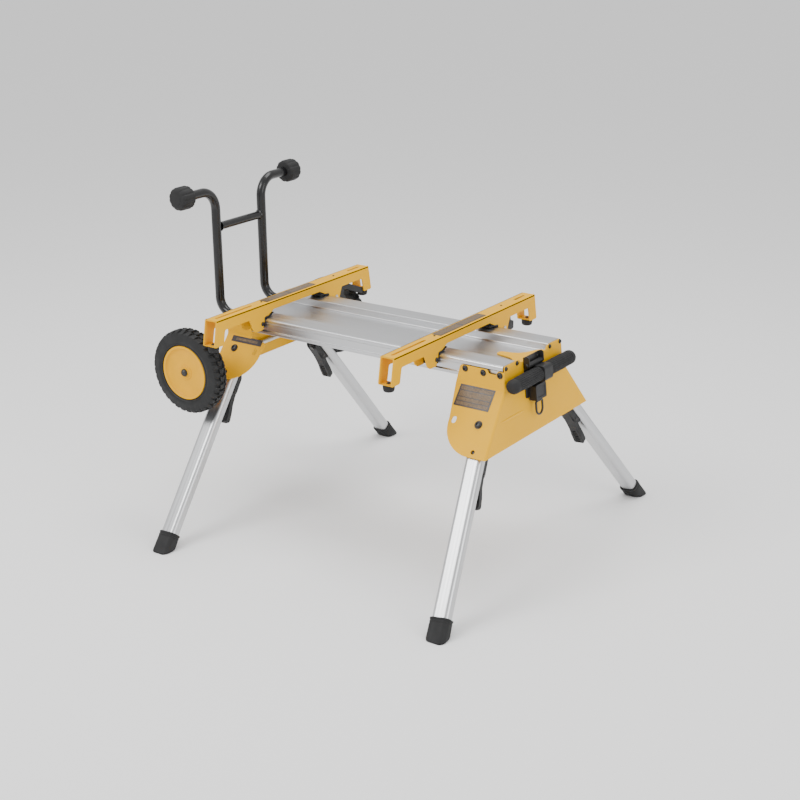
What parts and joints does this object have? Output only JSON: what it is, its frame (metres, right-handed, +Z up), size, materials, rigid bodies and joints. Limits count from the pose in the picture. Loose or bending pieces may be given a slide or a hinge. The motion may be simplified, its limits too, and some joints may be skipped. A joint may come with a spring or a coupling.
{
  "type": "rolling saw stand",
  "caption": "Folding wheeled stand for a mitre saw: an aluminium beam on splayed locking legs, with sliding saw rails, transport wheels, a bent-tube bumper and a swing-out handle.",
  "frame": {"origin": "on the floor, under the middle of the whole open stand", "axes": "+Z up; +X along the beam from the wheels to the handle; +Y to the far side, where the rail clamp levers are"},
  "size_m": [1.0047, 1.0186, 0.8568],
  "materials": {
    "yellow_paint": "smooth powder coat, semi-gloss",
    "hub_plastic": "moulded plastic, semi-gloss",
    "aluminium": "satin anodised extrusion with faint draw lines",
    "leg_aluminium": "satin anodised tube with faint draw lines",
    "black_tube": "gloss black powder coat",
    "black_steel": "satin black powder coat",
    "zinc_steel": "zinc-plated fasteners",
    "rubber": "matt moulded rubber",
    "tyre_rubber": "matt block tread",
    "black_plastic": "fine-textured moulded plastic"
  },
  "bodies": {
    "frame": {"beam": "aluminium", "left_bracket": "yellow_paint", "right_bracket": "yellow_paint", "right_gusset": "yellow_paint", "bumper_post_near": "black_tube", "bumper_post_far": "black_tube", "bumper_knob_near": "rubber", "bumper_knob_far": "rubber", "bumper_crossbar": "black_tube", "axle": "zinc_steel", "wheel_cap_near": "black_steel", "wheel_cap_far": "black_steel", "handle_yoke": "black_steel", "handle_pin": "zinc_steel", "left_leg_pivot_bolt_near": "black_steel", "left_leg_pivot_bolt_far": "black_steel", "right_leg_pivot_bolt_near": "black_steel", "right_leg_pivot_bolt_far": "black_steel"},
    "right_leg_near": {"right_leg_tube_near": "leg_aluminium", "right_leg_foot_near": "rubber", "right_leg_lever_mount_near": "black_plastic"},
    "right_release_lever_near": {"right_leg_release_lever_near": "black_plastic"},
    "right_lock_pin_near": {"right_leg_lock_pin_near": "zinc_steel"},
    "right_leg_far": {"right_leg_tube_far": "leg_aluminium", "right_leg_foot_far": "rubber", "right_leg_lever_mount_far": "black_plastic"},
    "right_release_lever_far": {"right_leg_release_lever_far": "black_plastic"},
    "right_lock_pin_far": {"right_leg_lock_pin_far": "zinc_steel"},
    "left_leg_near": {"left_leg_tube_near": "leg_aluminium", "left_leg_foot_near": "rubber", "left_leg_lever_mount_near": "black_plastic"},
    "left_release_lever_near": {"left_leg_release_lever_near": "black_plastic"},
    "left_lock_pin_near": {"left_leg_lock_pin_near": "zinc_steel"},
    "left_leg_far": {"left_leg_tube_far": "leg_aluminium", "left_leg_foot_far": "rubber", "left_leg_lever_mount_far": "black_plastic"},
    "left_release_lever_far": {"left_leg_release_lever_far": "black_plastic"},
    "left_lock_pin_far": {"left_leg_lock_pin_far": "zinc_steel"},
    "wheel_near": {"wheel_tyre_near": "tyre_rubber", "wheel_hub_near": "hub_plastic"},
    "wheel_far": {"wheel_tyre_far": "tyre_rubber", "wheel_hub_far": "hub_plastic"},
    "right_rail": {"right_rail": "yellow_paint", "right_rail_foot_near": "rubber", "right_rail_foot_far": "rubber", "right_rail_jaw_near": "black_plastic", "right_rail_jaw_far": "black_plastic", "right_rail_clamp_pin": "zinc_steel"},
    "right_clamp_lever": {"right_rail_clamp_lever": "black_plastic"},
    "left_rail": {"left_rail": "yellow_paint", "left_rail_foot_near": "rubber", "left_rail_foot_far": "rubber", "left_rail_jaw_near": "black_plastic", "left_rail_jaw_far": "black_plastic", "left_rail_clamp_pin": "zinc_steel"},
    "left_clamp_lever": {"left_rail_clamp_lever": "black_plastic"},
    "handle": {"handle_arm": "black_plastic", "handle_grip": "rubber"},
    "latch": {"latch_pull_ring": "black_steel"}
  },
  "joints": [
    {"name": "right_leg_fold_near", "type": "hinge", "parent": "frame", "child": "right_leg_near", "pos_m": [0.3962, -0.1754, 0.3822], "axis": [0, 0.7771, -0.6293], "range_deg": [0, 99.2]},
    {"name": "right_release_near", "type": "hinge", "parent": "right_leg_near", "child": "right_release_lever_near", "pos_m": [0.41299, -0.22198, 0.28655], "axis": [-0.9871, -0.1006, -0.1243], "range_deg": [0, 12], "stiffness_Nm_per_rad": 0.6, "springref_deg": -14.32},
    {"name": "right_lock_near", "type": "slide", "parent": "right_leg_near", "child": "right_lock_pin_near", "axis": [0, 0.7771, -0.6293], "range_m": [0, 0.0081]},
    {"name": "right_leg_fold_far", "type": "hinge", "parent": "frame", "child": "right_leg_far", "pos_m": [0.3962, 0.1754, 0.3822], "axis": [0, 0.7771, 0.6293], "range_deg": [0, 99.2]},
    {"name": "right_release_far", "type": "hinge", "parent": "right_leg_far", "child": "right_release_lever_far", "pos_m": [0.41299, 0.22198, 0.28655], "axis": [0.9871, -0.1006, 0.1243], "range_deg": [0, 12], "stiffness_Nm_per_rad": 0.6, "springref_deg": -14.32},
    {"name": "right_lock_far", "type": "slide", "parent": "right_leg_far", "child": "right_lock_pin_far", "axis": [0, -0.7771, -0.6293], "range_m": [0, 0.0081]},
    {"name": "left_leg_fold_near", "type": "hinge", "parent": "frame", "child": "left_leg_near", "pos_m": [-0.365, -0.14074, 0.425], "axis": [0, -0.7771, 0.6293], "range_deg": [0, 87.7]},
    {"name": "left_release_near", "type": "hinge", "parent": "left_leg_near", "child": "left_release_lever_near", "pos_m": [-0.36079, -0.18812, 0.32836], "axis": [-0.9992, -0.0253, -0.0312], "range_deg": [0, 12], "stiffness_Nm_per_rad": 0.6, "springref_deg": -14.32},
    {"name": "left_lock_near", "type": "slide", "parent": "left_leg_near", "child": "left_lock_pin_near", "axis": [0, 0.7771, -0.6293], "range_m": [0, 0.0081]},
    {"name": "left_leg_fold_far", "type": "hinge", "parent": "frame", "child": "left_leg_far", "pos_m": [-0.365, 0.14074, 0.425], "axis": [0, -0.7771, -0.6293], "range_deg": [0, 87.7]},
    {"name": "left_release_far", "type": "hinge", "parent": "left_leg_far", "child": "left_release_lever_far", "pos_m": [-0.36079, 0.18812, 0.32836], "axis": [0.9992, -0.0253, 0.0312], "range_deg": [0, 12], "stiffness_Nm_per_rad": 0.6, "springref_deg": -14.32},
    {"name": "left_lock_far", "type": "slide", "parent": "left_leg_far", "child": "left_lock_pin_far", "axis": [0, -0.7771, -0.6293], "range_m": [0, 0.0081]},
    {"name": "wheel_spin_near", "type": "hinge", "parent": "frame", "child": "wheel_near", "pos_m": [-0.396, -0.2947, 0.4105], "axis": [0, 1, 0], "continuous": true},
    {"name": "wheel_spin_far", "type": "hinge", "parent": "frame", "child": "wheel_far", "pos_m": [-0.396, 0.2947, 0.4105], "axis": [0, 1, 0], "continuous": true},
    {"name": "right_rail_slide", "type": "slide", "parent": "frame", "child": "right_rail", "axis": [1, 0, 0], "range_m": [-0.3, 0.04]},
    {"name": "right_clamp", "type": "hinge", "parent": "right_rail", "child": "right_clamp_lever", "pos_m": [0.2289, 0.1665, 0.512], "axis": [-1, 0, 0], "range_deg": [0, 50]},
    {"name": "left_rail_slide", "type": "slide", "parent": "frame", "child": "left_rail", "axis": [1, 0, 0], "range_m": [0, 0.15]},
    {"name": "left_clamp", "type": "hinge", "parent": "left_rail", "child": "left_clamp_lever", "pos_m": [-0.2987, 0.1665, 0.512], "axis": [-1, 0, 0], "range_deg": [-22, 4]},
    {"name": "handle_swing", "type": "hinge", "parent": "frame", "child": "handle", "pos_m": [0.43854, 0, 0.5055], "axis": [0, -1, 0], "range_deg": [0, 80]},
    {"name": "latch_pull", "type": "slide", "parent": "handle", "child": "latch", "axis": [0.0995, 0, -0.995], "range_m": [0, 0.006], "stiffness_N_per_m": 300, "springref_m": -0.003}
  ],
  "couplings": [
    {"joint": "right_lock_near", "follows": "right_release_near", "m_per_rad": 0.0382},
    {"joint": "right_lock_far", "follows": "right_release_far", "m_per_rad": 0.0382},
    {"joint": "left_lock_near", "follows": "left_release_near", "m_per_rad": 0.0382},
    {"joint": "left_lock_far", "follows": "left_release_far", "m_per_rad": 0.0382}
  ]
}
